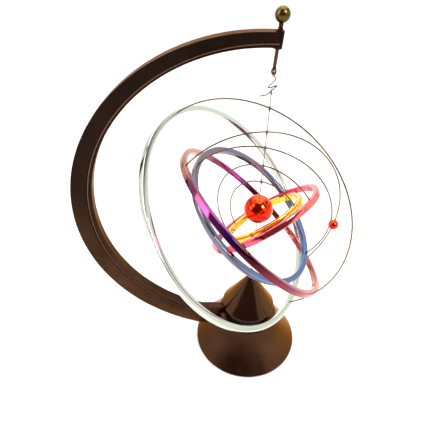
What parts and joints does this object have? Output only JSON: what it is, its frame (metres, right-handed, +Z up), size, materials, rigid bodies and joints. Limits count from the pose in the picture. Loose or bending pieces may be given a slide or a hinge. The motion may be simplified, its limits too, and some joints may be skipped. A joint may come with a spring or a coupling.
{
  "type": "orrery",
  "caption": "Desk orrery mobile: coloured orbit rings and a red sun ball hang on a thread from a bowed arm over a bell base with a magnetic drive coil.",
  "frame": {"origin": "on the table under the middle of the bell base, on the line the thread hangs in", "axes": "+Z up along the thread; the arm lies in the XZ plane and bows out towards -X; -Y is the side it is looked at from"},
  "size_m": [0.2125, 0.1725, 0.3066],
  "materials": {
    "base_lacquer": "dark brown lacquer, satin",
    "arm_lacquer": "cast, dark brown lacquer, satin",
    "collar_black": "matte black",
    "black_plastic": "moulded, fine texture",
    "foot_rubber": "matte",
    "screw_steel": "zinc plated",
    "ballast_iron": "as cast",
    "battery_case": "printed sleeve, semi gloss",
    "lead_red": "wire insulation",
    "lead_black": "wire insulation",
    "board_green": "solder mask",
    "capacitor_sleeve": "shrink sleeve",
    "bobbin_plastic": "moulded nylon",
    "coil_copper": "enamelled copper winding",
    "core_steel": "turned",
    "rod_brown": "red-brown lacquer",
    "finial_bronze": "dark bronze, polished",
    "hook_wire": "bronze wire",
    "bail_bronze": "bronze wire",
    "thread_grey": "fine twisted thread",
    "crimp_metal": "crimped bead",
    "magnet_metal": "nickel plated",
    "ball_red": "moulded ball, mirror-plated under clear red lacquer",
    "silver_mirror": "moulded hoop, mirror-plated under clear silver lacquer",
    "purple_mirror": "moulded hoop, mirror-plated under clear purple lacquer",
    "blue_mirror": "moulded hoop, mirror-plated under clear blue lacquer",
    "pink_mirror": "moulded hoop, mirror-plated under clear pink lacquer",
    "gold_mirror": "moulded hoop, mirror-plated under clear gold lacquer"
  },
  "bodies": {
    "stand": {"bell_base": "base_lacquer", "base_plate": "black_plastic", "rubber_feet": "foot_rubber", "plate_screws": "screw_steel", "ballast_ring": "ballast_iron", "battery": "battery_case", "battery_clip": "black_plastic", "battery_lead": "lead_red", "circuit_board": "board_green", "capacitor": "capacitor_sleeve", "drive_transistor": "black_plastic", "coil_lead": "lead_black", "neck_collar": "collar_black", "upper_cone": "base_lacquer", "coil_bobbin": "bobbin_plastic", "drive_coil": "coil_copper", "coil_core": "core_steel", "clamp_bolt": "screw_steel", "collar_screws": "screw_steel", "arm": "arm_lacquer"},
    "battery_hatch": {"battery_door": "black_plastic"},
    "hanger": {"hanger_rod": "rod_brown", "finial_ball": "finial_bronze", "rod_collar": "rod_brown"},
    "hook": {"s_hook": "hook_wire"},
    "knot": {"thread_knot": "thread_grey"},
    "hanging_thread": {"thread": "thread_grey", "thread_crimps": "crimp_metal", "end_magnet": "magnet_metal"},
    "sun": {"sun_ball": "ball_red"},
    "planet": {"planet_ball": "ball_red"},
    "silver_orbit": {"silver_ring": "silver_mirror", "silver_bail": "bail_bronze"},
    "purple_orbit": {"purple_ring": "purple_mirror", "purple_bail": "bail_bronze"},
    "blue_orbit": {"blue_ring": "blue_mirror", "blue_bail": "bail_bronze"},
    "pink_orbit": {"pink_ring": "pink_mirror", "pink_bail": "bail_bronze"},
    "gold_orbit": {"gold_ring": "gold_mirror", "gold_bail": "bail_bronze"}
  },
  "joints": [
    {"name": "battery_door_hinge", "type": "hinge", "parent": "stand", "child": "battery_hatch", "pos_m": [-0.0295, 0, 0.001], "axis": [0, 1, 0], "range_deg": [0, 95]},
    {"name": "hanger_turn", "type": "hinge", "parent": "stand", "child": "hanger", "pos_m": [0, 0, 0.27127], "axis": [0.0466, 0, 0.9989], "continuous": true},
    {"name": "hook_swing", "type": "hinge", "parent": "hanger", "child": "hook", "pos_m": [0, 0, 0.27127], "axis": [0, 1, 0], "range_deg": [-4, 4]},
    {"name": "knot_swing", "type": "hinge", "parent": "hook", "child": "knot", "pos_m": [0, 0, 0.25957], "axis": [1, 0, 0], "range_deg": [-4, 4]},
    {"name": "thread_twist", "type": "hinge", "parent": "knot", "child": "hanging_thread", "pos_m": [0, 0, 0.25457], "axis": [0, 0, 1], "continuous": true},
    {"name": "sun_spin", "type": "hinge", "parent": "hanging_thread", "child": "sun", "pos_m": [0, 0, 0.1658], "axis": [0, 0, 1], "continuous": true},
    {"name": "silver_orbit_turn", "type": "hinge", "parent": "hanging_thread", "child": "silver_orbit", "pos_m": [0, 0, 0.2481], "axis": [0, 0, 1], "range_deg": [-4, 100]},
    {"name": "purple_orbit_turn", "type": "hinge", "parent": "hanging_thread", "child": "purple_orbit", "pos_m": [0, 0, 0.2314], "axis": [0, 0, 1], "range_deg": [-90, 4]},
    {"name": "blue_orbit_turn", "type": "hinge", "parent": "hanging_thread", "child": "blue_orbit", "pos_m": [0, 0, 0.2195], "axis": [0, 0, 1], "range_deg": [-46, 60]},
    {"name": "pink_orbit_turn", "type": "hinge", "parent": "hanging_thread", "child": "pink_orbit", "pos_m": [0, 0, 0.205], "axis": [0, 0, 1], "continuous": true},
    {"name": "gold_orbit_turn", "type": "hinge", "parent": "hanging_thread", "child": "gold_orbit", "pos_m": [0, 0, 0.1913], "axis": [0, 0, 1], "continuous": true},
    {"name": "planet_travel", "type": "hinge", "parent": "purple_orbit", "child": "planet", "pos_m": [-0.00434, -0.00533, 0.16073], "axis": [-0.1679, 0.9837, -0.0639], "range_deg": [-85, 20]}
  ]
}
